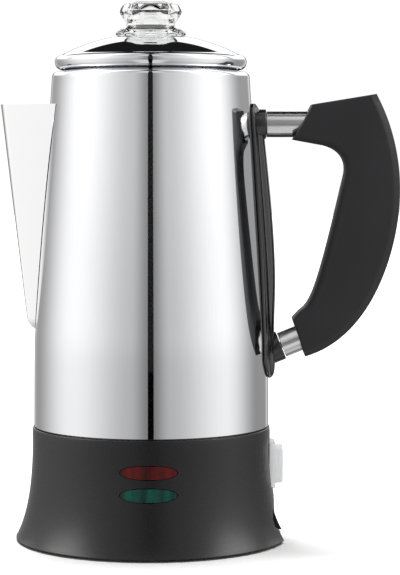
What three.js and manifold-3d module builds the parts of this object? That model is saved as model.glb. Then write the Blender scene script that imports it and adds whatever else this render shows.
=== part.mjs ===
// Electric coffee percolator: steel pot on a heating base, with spout, handle, lid, glass knob and brewing parts.
// Millimetres, +Z up. The origin is on the floor, under the middle of the outline. The spout points to -X,
// the handle and the switch are at +X, and the two indicator lamps face -Y.
import * as THREE from "three";
import { mergeVertices } from "three/addons/utils/BufferGeometryUtils.js";
import Module from "manifold-3d";

const wasm = await Module();
wasm.setup();

// ---------- driving dimensions ----------
const POT_AXIS_X = -27.4; // the spout and the grip reach unequally far from the pot's axis
const GAP = 0.3; // between neighbouring pieces
const SHEET = 0.8; // steel sheet of the pot, lid, spout and basket
const WALL = 2.4; // moulded wall of the base
const ROUND = 32; // facets around the large turned pieces
const SMALL_ROUND = 18; // facets around the small turned pieces

const RIM_Z = 63.7; // top of the base, where the pot sits
const BASE_BOTTOM_Z = 1.2;
const POT_FLOOR_Z = 54; // underside of the pot's floor
const POT_STEP_R = 62.8; // the pot's foot that drops into the base
const SHOULDER_Z = 261.9; // top of the pot
const MOUTH_R = 48.1;
const NECK_BOTTOM_Z = 256;
const WELL_R = 10.8; // heating well in the middle of the pot's floor

const COLLAR_TOP_Z = 187.7; // the basket stands on the stem's collar
const STEM_R = 4.2;
const STEM_TOP_Z = 268;
const BASKET_R = 44.5;
const BASKET_RIM_Z = 247;

const LID_SEAT_Z = 281.2; // flat ring under the knob
const LID_HOLE_R = 15.2;
const KNOB_NECK_R = 13.2;

const UPPER_ARM_Z = 232.9; // axis of the upper, level sleeve
const LOWER_ARM = { x: 72.9, z: 109.1, rise: THREE.MathUtils.degToRad(22) }; // lower sleeve's axis at its collar
const SLEEVE_R = 7.3;
const GRIP_THICKNESS = 24;

const SWITCH_Z = 42.2;
const ROCKER_TILT = THREE.MathUtils.degToRad(11);
const RED_LAMP_Z = 46.6;
const GREEN_LAMP_Z = 34.5;

// ---------- finishes ----------
const finish = (color, roughness, metalness, more = {}) =>
  new THREE.MeshStandardMaterial({ color, roughness, metalness, ...more });
const STEEL = finish(0xc8c9cc, 0.08, 1);
const PLAIN_STEEL = finish(0xa5a6a8, 0.35, 1);
const ALUMINIUM = finish(0xb4b6b8, 0.4, 1);
const BRASS = finish(0xb08d4a, 0.35, 1);
const BLACK_PLASTIC = finish(0x2a2a2c, 0.5, 0);
const PHENOLIC = finish(0x1b1a1a, 0.45, 0);
const RUBBER = finish(0x161616, 0.85, 0);
const SILICONE = finish(0xbcc4cc, 0.35, 0, { transparent: true, opacity: 0.6 });
const ROCKER_BLUE = finish(0x6d7a8c, 0.4, 0);
const RED_LENS = finish(0x4a1512, 0.2, 0);
const GREEN_LENS = finish(0x0c3a36, 0.2, 0);
const LAMP_GLASS = finish(0xd8d2c8, 0.1, 0, { transparent: true, opacity: 0.5 });
const CLEAR_GLASS = finish(0xe6ecee, 0.03, 0, { transparent: true, opacity: 0.35 });
const LEAD = finish(0xd8d4cc, 0.6, 0);

// ---------- geometry helpers ----------
// Turns every face outwards, whichever way round the outline was drawn.
function facingOut(geometry) {
  const bare = geometry.index ? geometry.toNonIndexed() : geometry;
  const p = bare.getAttribute("position");
  const [a, b, c] = [new THREE.Vector3(), new THREE.Vector3(), new THREE.Vector3()];
  let volume = 0;
  for (let i = 0; i < p.count; i += 3) {
    a.fromBufferAttribute(p, i);
    b.fromBufferAttribute(p, i + 1);
    c.fromBufferAttribute(p, i + 2);
    volume += a.dot(b.cross(c));
  }
  if (volume > 0) return bare;
  for (let i = 0; i < p.count; i += 3) {
    b.fromBufferAttribute(p, i + 1);
    c.fromBufferAttribute(p, i + 2);
    p.setXYZ(i + 1, c.x, c.y, c.z);
    p.setXYZ(i + 2, b.x, b.y, b.z);
  }
  bare.computeVertexNormals();
  return bare;
}

function toSolid(geometry) {
  const bare = facingOut(geometry).clone();
  bare.deleteAttribute("normal");
  bare.deleteAttribute("uv");
  const merged = mergeVertices(bare, 1e-4);
  const vertProperties = merged.getAttribute("position").array;
  const triVerts = new Uint32Array(merged.index.array);
  return new wasm.Manifold(new wasm.Mesh({ numProp: 3, vertProperties, triVerts }));
}

function toGeometry(solid) {
  const mesh = solid.getMesh();
  const geometry = new THREE.BufferGeometry();
  geometry.setAttribute("position", new THREE.BufferAttribute(mesh.vertProperties, 3));
  geometry.setIndex(new THREE.BufferAttribute(mesh.triVerts, 1));
  geometry.computeVertexNormals();
  return geometry;
}

const join = (solid, geometries) => geometries.reduce((all, g) => all.add(toSolid(g)), solid);
const cut = (solid, geometries) => geometries.reduce((left, g) => left.subtract(toSolid(g)), solid);

// A closed [radius, height] outline turned about +Z.
function turned(outline, segments = ROUND) {
  const points = outline.map(([r, z]) => new THREE.Vector2(r, z));
  return facingOut(new THREE.LatheGeometry(points, segments).rotateX(Math.PI / 2));
}

// A wall between two radii and two heights.
function ring(inner, outer, low, high, segments = SMALL_ROUND) {
  return turned([[inner, low], [outer, low], [outer, high], [inner, high], [inner, low]], segments);
}

const disc = (radius, low, high, segments = SMALL_ROUND) =>
  turned([[0, low], [radius, low], [radius, high], [0, high]], segments);

// Points of a circular arc in the [radius, height] plane, angles in degrees from the radius direction.
function arc(r, z, radius, from, to, steps) {
  return Array.from({ length: steps + 1 }, (_, i) => {
    const angle = THREE.MathUtils.degToRad(from + ((to - from) * i) / steps);
    return [r + radius * Math.cos(angle), z + radius * Math.sin(angle)];
  });
}

// A rod along +X from x0 to x1, for sleeves, screws and holes.
function rodX(radius, x0, x1, y = 0, z = 0, segments = SMALL_ROUND) {
  return new THREE.CylinderGeometry(radius, radius, x1 - x0, segments)
    .rotateZ(-Math.PI / 2)
    .translate((x0 + x1) / 2, y, z);
}

function box(x0, x1, y0, y1, z0, z1) {
  return new THREE.BoxGeometry(x1 - x0, y1 - y0, z1 - z0).translate((x0 + x1) / 2, (y0 + y1) / 2, (z0 + z1) / 2);
}

// A solid skinned over rings of points, from the lowest up, each with the same number of points.
function loft(slices) {
  const outline = (ring) => ring.map((p) => new THREE.Vector2(p.x, p.y));
  const backwards = THREE.ShapeUtils.isClockWise(outline(slices[0]));
  const rings = backwards ? slices.map((ring) => [...ring].reverse()) : slices;
  const count = rings[0].length;
  const corners = [];
  const face = (...points) => points.forEach((p) => corners.push(p.x, p.y, p.z));
  for (let i = 0; i + 1 < rings.length; i++) {
    for (let j = 0; j < count; j++) {
      const k = (j + 1) % count;
      face(rings[i][j], rings[i][k], rings[i + 1][k]);
      face(rings[i][j], rings[i + 1][k], rings[i + 1][j]);
    }
  }
  const first = rings[0];
  const last = rings[rings.length - 1];
  for (const [a, b, c] of THREE.ShapeUtils.triangulateShape(outline(first), [])) face(first[a], first[c], first[b]);
  for (const [a, b, c] of THREE.ShapeUtils.triangulateShape(outline(last), [])) face(last[a], last[b], last[c]);
  const geometry = new THREE.BufferGeometry();
  geometry.setAttribute("position", new THREE.Float32BufferAttribute(corners, 3));
  return facingOut(geometry);
}

// A stadium-ended slot shape, long in its first direction.
function slotShape(halfLength, halfHeight) {
  const middle = halfLength - halfHeight;
  return new THREE.Shape()
    .absarc(middle, 0, halfHeight, -Math.PI / 2, Math.PI / 2)
    .absarc(-middle, 0, halfHeight, Math.PI / 2, (3 * Math.PI) / 2);
}

// A shape drawn in (Y, Z) and extruded along +X.
function alongX(shape, x0, x1, z = 0) {
  const frame = new THREE.Matrix4().makeBasis(
    new THREE.Vector3(0, 1, 0),
    new THREE.Vector3(0, 0, 1),
    new THREE.Vector3(1, 0, 0),
  );
  return new THREE.ExtrudeGeometry(shape, { depth: x1 - x0, bevelEnabled: false, curveSegments: 4 })
    .applyMatrix4(frame)
    .translate(x0, 0, z);
}

// Rings of straight round holes through a floor, each ring given as [count, radius].
function floorHoles(rings, holeR, low, high) {
  return rings.flatMap(([count, radius]) =>
    Array.from({ length: count }, (_, i) => {
      const angle = (2 * Math.PI * i) / count;
      return disc(holeR, low, high, 6).translate(radius * Math.cos(angle), radius * Math.sin(angle), 0);
    }),
  );
}

// ---------- outlines shared by neighbours ----------
// The pot is a gentle cone that turns nearly straight low down.
function potRadius(z) {
  const cone = 55.1 + 0.0711 * (257.4 - z);
  const foot = 65.8 - 0.0078 * (z - 64);
  const blend = 0.25;
  return -blend * Math.log(Math.exp(-cone / blend) + Math.exp(-foot / blend));
}

const potWall = (offset, low, high, steps) =>
  Array.from({ length: steps + 1 }, (_, i) => {
    const z = low + ((high - low) * i) / steps;
    return [potRadius(z) + offset, z];
  });

// The space that the pot takes up, with a seating gap around it.
const potSpace = () => turned([[0, 60], ...potWall(GAP, 64.6, 257.4, 4), [55.4, 262], [0, 262]]);

// The base stands straight at the top and flares out to its foot.
function housingOutline(offset, low = BASE_BOTTOM_Z) {
  const flare = new THREE.CubicBezierCurve(
    new THREE.Vector2(66.7, 54),
    new THREE.Vector2(67.1, 30),
    new THREE.Vector2(69.9, 14),
    new THREE.Vector2(76.3, low),
  );
  return flare.getPoints(5).map((p) => [p.x + offset, p.y]);
}

// ---------- pot ----------
function potBody() {
  const outer = [
    [WELL_R + 0.5, POT_FLOOR_Z],
    ...arc(POT_STEP_R - 2.5, POT_FLOOR_Z + 2.5, 2.5, -90, 0, 2),
    [POT_STEP_R, RIM_Z + GAP],
    [65.3, RIM_Z + GAP],
    ...potWall(0, 64.6, 257.4, 4),
    ...arc(51.6, 258.4, 3.5, 10, 90, 3),
    ...arc(MOUTH_R + 1.2, SHOULDER_Z - 1.2, 1.2, 90, 180, 2),
    [MOUTH_R, NECK_BOTTOM_Z],
  ];
  const inner = [
    [MOUTH_R + SHEET, NECK_BOTTOM_Z],
    [MOUTH_R + SHEET, SHOULDER_Z - 1.2],
    ...arc(51.6, 258.4, 3.5 - SHEET, 90, 10, 2),
    ...potWall(-SHEET, 64.8, 257.4, 4).reverse(),
    [POT_STEP_R - SHEET, RIM_Z + GAP + SHEET],
    ...arc(POT_STEP_R - 2.5, POT_FLOOR_Z + 2.5, 2.5 - SHEET, 0, -90, 2),
    [WELL_R + 0.5, POT_FLOOR_Z + SHEET],
  ];
  const outline = [...outer, ...inner, outer[0]];
  const strainer = [];
  for (let row = 0; row < 6; row++) {
    const z = 176 + 10 * row;
    const across = row < 3 ? 1 : 2;
    for (let i = 0; i < across; i++) {
      strainer.push(rodX(1.8, -66, -48, (i - (across - 1) / 2) * 7, z, 6));
    }
  }
  return toGeometry(cut(toSolid(turned(outline)), strainer));
}

// One level slice through the spout: two straight sides that meet in a round nose, wider towards the top.
const SPOUT_LEAN = THREE.MathUtils.degToRad(30);
function spoutSlice(z, inset) {
  const noseX = 83.7 - 0.1165 * (243.8 - z);
  const nose = 2 + 0.042 * Math.max(z - 126, 0);
  const centreX = noseX - nose;
  const radius = nose - inset;
  const points = [];
  for (let i = 0; i <= 8; i++) {
    const angle = (Math.PI / 2 - SPOUT_LEAN) * (i / 4 - 1);
    points.push(new THREE.Vector3(-centreX - radius * Math.cos(angle), radius * Math.sin(angle), z));
  }
  const backX = potRadius(z) - 12; // runs into the pot, where it is cut away
  const spread = radius / Math.cos(SPOUT_LEAN) + (centreX - backX) * Math.tan(SPOUT_LEAN);
  return [new THREE.Vector3(-backX, -spread, z), ...points, new THREE.Vector3(-backX, spread, z)];
}

function spout() {
  const heights = (low, high) => [low, low + 8, 150, 165, 180, 212, high];
  const shrink = (slice, z, step) =>
    slice.map((p) => new THREE.Vector3(p.x + step, p.y * (1 - step / 9), z));
  const first = spoutSlice(126, 0);
  const toe = [
    shrink(first, 117.5, 6),
    shrink(first, 119, 3.6),
    shrink(first, 122, 1.1),
  ];
  const outside = loft([...toe, ...heights(126, 243.8).map((z) => spoutSlice(z, 0))]);
  const inside = loft(heights(127.5, 245).map((z) => spoutSlice(z, SHEET)));
  return toGeometry(cut(toSolid(outside), [inside, potSpace()]));
}

function heatingWell() {
  const cup = turned(
    [
      [0, 36.8], [WELL_R, 36.8], [WELL_R, POT_FLOOR_Z + SHEET + GAP], [16, POT_FLOOR_Z + SHEET + GAP],
      [16, 56.1], [9.4, 56.1], [9.4, 38], [0, 38],
    ],
    SMALL_ROUND,
  );
  return toGeometry(join(toSolid(cup), [disc(3, 22, 37, 12)]));
}

// ---------- base ----------
// An oval with blunt ends: a little squarer than an ellipse.
const LENS_SQUARENESS = 2.5;
const lensShape = (halfWidth, halfHeight) => {
  const corner = (t) => Math.sign(t) * Math.abs(t) ** (2 / LENS_SQUARENESS);
  const points = Array.from({ length: 32 }, (_, i) => {
    const angle = (2 * Math.PI * i) / 32;
    return new THREE.Vector2(halfWidth * corner(Math.cos(angle)), halfHeight * corner(Math.sin(angle)));
  });
  return new THREE.Shape(points);
};

// The oval of one indicator lens, extruded through the front wall.
function lensPrism(z, grow) {
  const shape = lensShape(15.4 + grow, 3.7 + grow);
  return new THREE.ExtrudeGeometry(shape, { depth: 20, bevelEnabled: false, curveSegments: 8 })
    .rotateX(Math.PI / 2)
    .translate(0, -55, z);
}

function lens(z) {
  const band = turned([...housingOutline(0.3), ...housingOutline(-3.6).reverse(), housingOutline(0.3)[0]]);
  return toGeometry(toSolid(lensPrism(z, 0)).intersect(toSolid(band)));
}

const COVER_SCREW_ANGLES = [75, 165, 255].map(THREE.MathUtils.degToRad);
const FOOT_ANGLES = [45, 135, 225, 315].map(THREE.MathUtils.degToRad);
const COVER_SCREW_R = 65.5;
const FOOT_R = 56;
const STRAP_ANGLE = THREE.MathUtils.degToRad(135);
const at = (geometry, radius, angle) =>
  geometry.translate(radius * Math.cos(angle), radius * Math.sin(angle), 0);

const INLET_Z = 14.6;

function baseHousing() {
  const outer = [[65.9, RIM_Z], [66.4, RIM_Z - 0.5], [66.8, 61], ...housingOutline(0)];
  const inner = [...housingOutline(-WALL).reverse(), [64.2, 61], [63.1, RIM_Z - 2], [63.1, RIM_Z]];
  const filled = turned([[0, RIM_Z], ...outer, [0, BASE_BOTTOM_Z]]);
  const recessWalls = toSolid(box(66.4, 80, -19.8, 19.8, BASE_BOTTOM_Z, 27)).intersect(toSolid(filled));
  const bosses = COVER_SCREW_ANGLES.map((angle) => at(disc(4.5, 5.8, 20, 12), COVER_SCREW_R, angle));
  const lugs = [0, Math.PI].map((turn) => box(54, 67, -8, 8, 30.2, 36).rotateZ(STRAP_ANGLE + turn));
  const switchPad = box(63, 67.2, -11, 11, 28.6, 55.8);
  const shell = toSolid(turned([...outer, ...inner, outer[0]])).add(recessWalls);
  return toGeometry(
    cut(join(shell, [...bosses, ...lugs, switchPad]), [
      ...COVER_SCREW_ANGLES.map((angle) => at(disc(1.7, 5, 18, 8), COVER_SCREW_R, angle)),
      box(69, 80, -17.4, 17.4, 0, 30),
      alongX(slotShape(14.5, 7.5), 60, 70, INLET_Z),
      box(67.2, 75, -11, 11, 28.6, 55.8),
      box(60, 70, -7.2, 7.2, SWITCH_Z - 9.7, SWITCH_Z + 9.7),
      lensPrism(RED_LAMP_Z, 0.3),
      lensPrism(GREEN_LAMP_Z, 0.3),
    ]),
  );
}

function bottomCover() {
  const holes = [
    ...COVER_SCREW_ANGLES.map((angle) => at(disc(1.8, 2, 6, 8), COVER_SCREW_R, angle)),
    ...FOOT_ANGLES.map((angle) => at(disc(3, 2, 6, 10), FOOT_R, angle)),
    ...Array.from({ length: 8 }, (_, i) => at(box(-9, 9, -1.2, 1.2, 2, 6), 28, (i * Math.PI) / 4)),
    box(66.1, 80, -25, 25, 2, 6),
  ];
  return toGeometry(cut(toSolid(disc(70.8, 3, 5.4, ROUND)), holes));
}

const foot = () =>
  turned([[0, 0], [5.4, 0], [6.5, 1], [6.5, 2.7], [2.5, 2.7], [2.5, 5.7], [0, 6.4]], 12);
const coverScrew = () => turned([[0, 1.2], [3.2, 1.2], [3.2, 2.7], [1.35, 2.7], [1.35, 16], [0, 16.8]], 12);

// ---------- heating parts ----------
const heatPlate = () => ring(WELL_R + GAP, 43, 50.2, POT_FLOOR_Z - GAP, 24);
const heatingElement = () => turned(arc(24, 46.2, 3.5, 0, 360, 8), 24);
const hexNut = (holeR, cornerR, low, high) =>
  toGeometry(cut(toSolid(disc(cornerR, low, high, 6)), [disc(holeR, low - 1, high + 1)]));
const wellNut = () => hexNut(WELL_R + GAP, 16, 43.4, 49.9);
const thermostat = () => turned([[0, 38], [4, 38], [4, 42], [7.5, 42], [7.5, 49.9], [0, 49.9]], 16);
const strapNut = () => hexNut(3.3, 6, 23.6, 28);
const clampStrap = () =>
  toGeometry(cut(toSolid(box(-62, 62, -7, 7, 28.3, 29.9)), [disc(3.3, 27, 31, 12)])).rotateZ(STRAP_ANGLE);

// ---------- indicator lamps, switch and inlet ----------
const neonLamp = () => turned([[0, -7], [1.1, -6.6], [1.7, -5.6], [1.7, 7], [0, 7]], 10).rotateY(Math.PI / 2);
function lampHolder() {
  const clips = [RED_LAMP_Z, GREEN_LAMP_Z].flatMap((z) =>
    [-9.5, 7.3].map((x) => box(x, x + 2.2, -61.5, -57.5, z - 2.2, z + 2.2)),
  );
  return toGeometry(join(toSolid(box(-24, 24, -58, -56, 28, 53)), clips));
}

function switchHousing() {
  const body = box(44, 68.5, -6.9, 6.9, SWITCH_Z - 9.4, SWITCH_Z + 9.4);
  const terminals = [-5, 5].map((dz) => box(38, 45, -2.4, 2.4, SWITCH_Z + dz - 0.4, SWITCH_Z + dz + 0.4));
  const cavity = box(60, 70, -5.6, 5.6, SWITCH_Z - 8.7, SWITCH_Z + 8.7);
  return toGeometry(cut(join(toSolid(body), terminals), [cavity]));
}

const ROCKER_PIVOT_X = 66.4;
function switchRocker() {
  const side = new THREE.Shape();
  side.moveTo(3.6, -7.6);
  side.quadraticCurveTo(2.4, 0, 3.6, 7.6);
  side.lineTo(1.4, 7.6);
  side.lineTo(-2.6, 2);
  side.absarc(-2.6, 0, 2, Math.PI / 2, (3 * Math.PI) / 2);
  side.lineTo(1.4, -7.6);
  return new THREE.ExtrudeGeometry(side, { depth: 10.4, bevelEnabled: false, curveSegments: 6 })
    .rotateX(Math.PI / 2)
    .translate(0, 5.2, 0)
    .rotateY(ROCKER_TILT)
    .translate(ROCKER_PIVOT_X, 0, SWITCH_Z);
}

const roundedShape = (halfWidth, halfHeight, corner) => {
  const [w, h] = [halfWidth - corner, halfHeight - corner];
  return new THREE.Shape()
    .absarc(w, h, corner, 0, Math.PI / 2)
    .absarc(-w, h, corner, Math.PI / 2, Math.PI)
    .absarc(-w, -h, corner, Math.PI, (3 * Math.PI) / 2)
    .absarc(w, -h, corner, (3 * Math.PI) / 2, 2 * Math.PI);
};

function switchBoot() {
  const flange = alongX(roundedShape(10.4, 13.1, 3), 67.5, 69.7, SWITCH_Z);
  const dome = alongX(roundedShape(8.4, 10.5, 4), 69, 74, SWITCH_Z);
  const inside = alongX(roundedShape(7.5, 9.7, 0.8), 67, 73.1, SWITCH_Z);
  return toGeometry(cut(toSolid(flange).add(toSolid(dome)), [inside]));
}

const INLET_PIN_Y = 6.35;
function inletBlock() {
  const body = box(48, 64.5, -16.5, 16.5, 6.5, 22.6);
  const spigot = alongX(slotShape(14.2, 7.2), 64, 68.8, INLET_Z);
  const pocket = alongX(slotShape(12.5, 5.5), 54, 70, INLET_Z);
  const pinHoles = [-1, 1].map((side) => rodX(2.3, 46, 56, side * INLET_PIN_Y, INLET_Z, 12));
  return toGeometry(cut(join(toSolid(body), [spigot]), [pocket, ...pinHoles]));
}

const inletPin = (side) =>
  facingOut(rodX(2, 42, 67.5, side * INLET_PIN_Y, INLET_Z, 12));

function lead(points) {
  const route = new THREE.CatmullRomCurve3(points.map((p) => new THREE.Vector3(...p)));
  const section = new THREE.Shape().absarc(0, 0, 1, 0, 2 * Math.PI);
  return facingOut(
    new THREE.ExtrudeGeometry(section, { steps: 14, bevelEnabled: false, extrudePath: route, curveSegments: 3 }),
  );
}

// ---------- handle ----------
// Half width and rib height of the bracket at a few heights, from its lower tip to its rounded top.
const BRACKET_STATIONS = [
  [90.8, 3, 1.6], [93, 11, 3], [97, 16.5, 3.7], [103, 20.3, 3.8], [119, 19.6, 3.9], [148, 17, 6.4],
  [179, 14.6, 7], [223, 12, 5.8], [237, 11, 4.8], [241.5, 8.8, 3.6], [244.2, 4.5, 2],
];
// The section across the bracket: a thin flange, a groove and a raised rib, as [share of half width, share of height].
const BRACKET_SECTION = [[1, 0], [0.97, 0.2], [0.72, 0.32], [0.56, 0.3], [0.42, 0.88], [0.2, 1]];

function bracketRing([z, halfWidth, height]) {
  const side = (sign) =>
    BRACKET_SECTION.map(([across, up]) => {
      const y = sign * across * halfWidth;
      const surface = Math.sqrt((potRadius(z) + GAP) ** 2 - y ** 2);
      return new THREE.Vector3(surface + 0.6 + up * (height - 0.6), y, z);
    });
  const back = [new THREE.Vector3(52, halfWidth, z), new THREE.Vector3(52, -halfWidth, z)];
  return [...side(-1), ...side(1).reverse(), ...back];
}

// Places a piece drawn along +X from the lower collar's mouth.
const onLowerArm = (geometry) =>
  geometry.rotateY(-LOWER_ARM.rise).translate(LOWER_ARM.x, 0, LOWER_ARM.z);
const onUpperArm = (geometry) => geometry.translate(0, 0, UPPER_ARM_Z);

function handleBracket() {
  const shield = loft(BRACKET_STATIONS.map(bracketRing));
  const collars = [onUpperArm(rodX(8.3, 52, 64.3)), onLowerArm(rodX(8.3, -10, 0))];
  const pockets = [
    potSpace(),
    onUpperArm(rodX(4.2, 50, 60.5, 0, 0, 12)),
    onUpperArm(rodX(2.3, 50, 70, 0, 0, 12)),
    onLowerArm(rodX(4.2, -14, -3, 0, 0, 12)),
    onLowerArm(rodX(2.3, -14, 5, 0, 0, 12)),
    box(50, 64.2, -6.5, 6.5, 166, 194),
  ];
  return toGeometry(cut(join(toSolid(shield), collars), pockets));
}

// A pan-headed screw along +X, with its head's outer face at x0.
const handleScrew = (x0, length) =>
  facingOut(
    turned([[0, 0], [3.4, 0], [3.8, 0.8], [3.8, 2.4], [1.8, 2.4], [1.8, length], [0, length + 1]], 12)
      .rotateY(Math.PI / 2)
      .translate(x0, 0, 0),
  );

const sleeve = (x0, x1) =>
  ring(SLEEVE_R - 1.4, SLEEVE_R, x0, x1, SMALL_ROUND).rotateY(Math.PI / 2);
const insert = (x0, x1) => ring(2.1, 3.6, x0, x1, 8).rotateY(Math.PI / 2);

const bracketClip = () => box(61.8, 63, -5, 5, 170, 190);

function handleGrip() {
  const edge = 3.2; // rounding of the long edges
  const side = new THREE.Shape();
  side.moveTo(89.6, 243.7);
  side.lineTo(125.2, 249.5);
  side.bezierCurveTo(134.5, 233, 139.6, 211, 138.5, 190.5);
  side.bezierCurveTo(137.7, 167.1, 126.4, 118.4, 90.3, 104.7);
  side.lineTo(86.1, 103.4);
  side.lineTo(79, 124.2);
  side.lineTo(83, 128.8);
  side.bezierCurveTo(89.8, 133.3, 93.3, 142.5, 107.4, 203.7);
  side.bezierCurveTo(109.6, 212.3, 105.5, 218.7, 96.2, 221);
  side.lineTo(79, 224.2);
  const blank = new THREE.ExtrudeGeometry(side, {
    depth: GRIP_THICKNESS - 2 * edge,
    bevelThickness: edge,
    bevelSize: edge,
    bevelOffset: -edge,
    bevelSegments: 2,
    curveSegments: 7,
  })
    .rotateX(Math.PI / 2)
    .translate(0, GRIP_THICKNESS / 2 - edge, 0);
  const bores = [
    onUpperArm(rodX(SLEEVE_R + GAP, 60, 92)),
    onUpperArm(rodX(3.9, 60, 106, 0, 0, 12)),
    onLowerArm(rodX(SLEEVE_R + GAP, 0, 20.3)),
    onLowerArm(rodX(3.9, 0, 34, 0, 0, 12)),
  ];
  return toGeometry(cut(toSolid(blank), bores));
}

// ---------- brewing parts ----------
function pumpStem() {
  return turned(
    [
      [STEM_R - 1, 44.3], [6.5, 44.3], [6.5, 45.5], [STEM_R, 45.5], [STEM_R, COLLAR_TOP_Z - 3.2],
      [9, COLLAR_TOP_Z - 1.2], [9, COLLAR_TOP_Z], [STEM_R, COLLAR_TOP_Z], [STEM_R, STEM_TOP_Z],
      [STEM_R - 1, STEM_TOP_Z], [STEM_R - 1, 44.3],
    ],
    SMALL_ROUND,
  );
}

const pumpFoot = () =>
  turned(
    [
      [13, 56.4], [13.8, 56.4], [13, 60], [9, 66], [5.8, 69], [5.8, 75], [STEM_R + GAP, 75],
      [STEM_R + GAP, 68], [8.4, 65], [12.2, 59.6], [13, 56.4],
    ],
    SMALL_ROUND,
  );
const valveWasher = () => ring(STEM_R + GAP, 8.6, 45.9, 47.1);

function basket() {
  const floor = COLLAR_TOP_Z + GAP;
  const shell = turned([
    [5, floor], [BASKET_R, floor], [BASKET_R, BASKET_RIM_Z - SHEET], [46, BASKET_RIM_Z - SHEET], [46, BASKET_RIM_Z],
    [BASKET_R - SHEET, BASKET_RIM_Z], [BASKET_R - SHEET, floor + SHEET], [5.8, floor + SHEET], [5.8, 240], [5, 240],
    [5, floor],
  ]);
  const holes = floorHoles([[6, 14], [12, 30]], 1.6, floor - 1, floor + 2);
  return toGeometry(cut(toSolid(shell), holes));
}

function spreader() {
  const low = BASKET_RIM_Z + GAP;
  const plate = turned([
    [5, low], [45.6, low], [45.6, 251.5], [45.6 - SHEET, 251.5], [45.6 - SHEET, low + SHEET], [5.8, low + SHEET],
    [5.8, 250], [5, 250], [5, low],
  ]);
  const holes = floorHoles([[6, 14], [12, 32]], 1.3, low - 1, low + 2);
  return toGeometry(cut(toSolid(plate), holes));
}

// ---------- lid and knob ----------
const DOME_R = 108;
const DOME_TOP_Z = 283.2;
const domeHeight = (r, offset) => DOME_TOP_Z - DOME_R + Math.sqrt((DOME_R - offset) ** 2 - r ** 2);
const dome = (from, to, offset, steps) =>
  Array.from({ length: steps + 1 }, (_, i) => {
    const r = from + ((to - from) * i) / steps;
    return [r, domeHeight(r, offset)];
  });

// A wedge of a ring, for a bayonet lug or its slot.
function sector(inner, outer, width, low, high, angle) {
  const half = THREE.MathUtils.degToRad(width) / 2;
  const shape = new THREE.Shape()
    .absarc(0, 0, outer, angle - half, angle + half)
    .absarc(0, 0, inner, angle + half, angle - half, true);
  return new THREE.ExtrudeGeometry(shape, { depth: high - low, bevelEnabled: false, curveSegments: 4 })
    .translate(0, 0, low);
}

const LUG_ANGLES = [0, 120, 240].map(THREE.MathUtils.degToRad);
const BAYONET_TURN = THREE.MathUtils.degToRad(60);

function lid() {
  const outline = [
    [LID_HOLE_R, LID_SEAT_Z],
    [20.6, LID_SEAT_Z],
    ...dome(21.4, 49.6, 0, 3),
    ...arc(50, 267.4, 3.4, 80, -75, 4),
    [49.9, SHOULDER_Z + GAP],
    [MOUTH_R - 0.5, SHOULDER_Z + GAP],
    [MOUTH_R - 0.5, 252],
    [46.8, 252],
    [46.8, 267],
    ...dome(45.6, 21.4, SHEET, 2),
    [20.6, LID_SEAT_Z - SHEET],
    [LID_HOLE_R, LID_SEAT_Z - SHEET],
    [LID_HOLE_R, LID_SEAT_Z],
  ];
  const slots = LUG_ANGLES.map((angle) => sector(12, 18, 42, 278, 284, angle + BAYONET_TURN));
  return toGeometry(cut(toSolid(turned(outline)), slots));
}

const KNOB_SIDES = 6;
function lidKnob() {
  const geometry = turned(
    [
      [0, 296.4], [8, 295.6], [10.4, 292], [10.4, 275], [KNOB_NECK_R, 275], [KNOB_NECK_R, LID_SEAT_Z + GAP],
      [19.2, LID_SEAT_Z + GAP], [19.6, 283], [19, 284.9], [13.6, 285.4], [13.4, 288.6], [14.6, 290], [17.3, 295],
      [15.7, 298.5], [12.3, 300.6], [0, 300.6],
    ],
    SMALL_ROUND,
  );
  // The head above the neck is cut to flats.
  const p = geometry.getAttribute("position");
  const share = (2 * Math.PI) / KNOB_SIDES;
  for (let i = 0; i < p.count; i++) {
    const radius = Math.hypot(p.getX(i), p.getY(i));
    if (p.getZ(i) < 289 || radius < 11) continue;
    const angle = Math.atan2(p.getY(i), p.getX(i)) + 2 * Math.PI;
    const fromFlat = (angle % share) - share / 2;
    const scale = Math.cos(share / 2 - 0.12) / Math.cos(fromFlat);
    const flat = Math.min(scale, 1);
    p.setXYZ(i, p.getX(i) * flat, p.getY(i) * flat, p.getZ(i));
  }
  const lugs = LUG_ANGLES.map((angle) => sector(11, 17.2, 34, 276.6, LID_SEAT_Z - SHEET - GAP, angle));
  return toGeometry(join(toSolid(geometry), lugs));
}

// ---------- assembly ----------
const percolator = new THREE.Group();
const onPotAxis = new THREE.Group();
onPotAxis.position.x = POT_AXIS_X;
percolator.add(onPotAxis);

function body(parent = onPotAxis) {
  const group = new THREE.Group();
  parent.add(group);
  return group;
}

function add(group, name, geometry, material, x = 0, y = 0, z = 0) {
  const mesh = new THREE.Mesh(facingOut(geometry), material);
  mesh.name = name;
  mesh.position.set(x, y, z);
  group.add(mesh);
}

const pot = body();
add(pot, "pot_body", potBody(), STEEL);
add(pot, "spout", spout(), STEEL);
add(pot, "heating_well", heatingWell(), PLAIN_STEEL);
add(pot, "well_nut", wellNut(), BRASS);
add(pot, "heat_plate", heatPlate(), ALUMINIUM);
add(pot, "heating_element", heatingElement(), PLAIN_STEEL);
add(pot, "brew_thermostat", thermostat(), ALUMINIUM, 0, 35.5, 0);
add(pot, "thermal_fuse", disc(2, -9, 9, 10).rotateX(Math.PI / 2), BRASS, -38, 0, 47.6);
add(pot, "clamp_strap", clampStrap(), PLAIN_STEEL);
add(pot, "strap_nut", strapNut(), BRASS);

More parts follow.
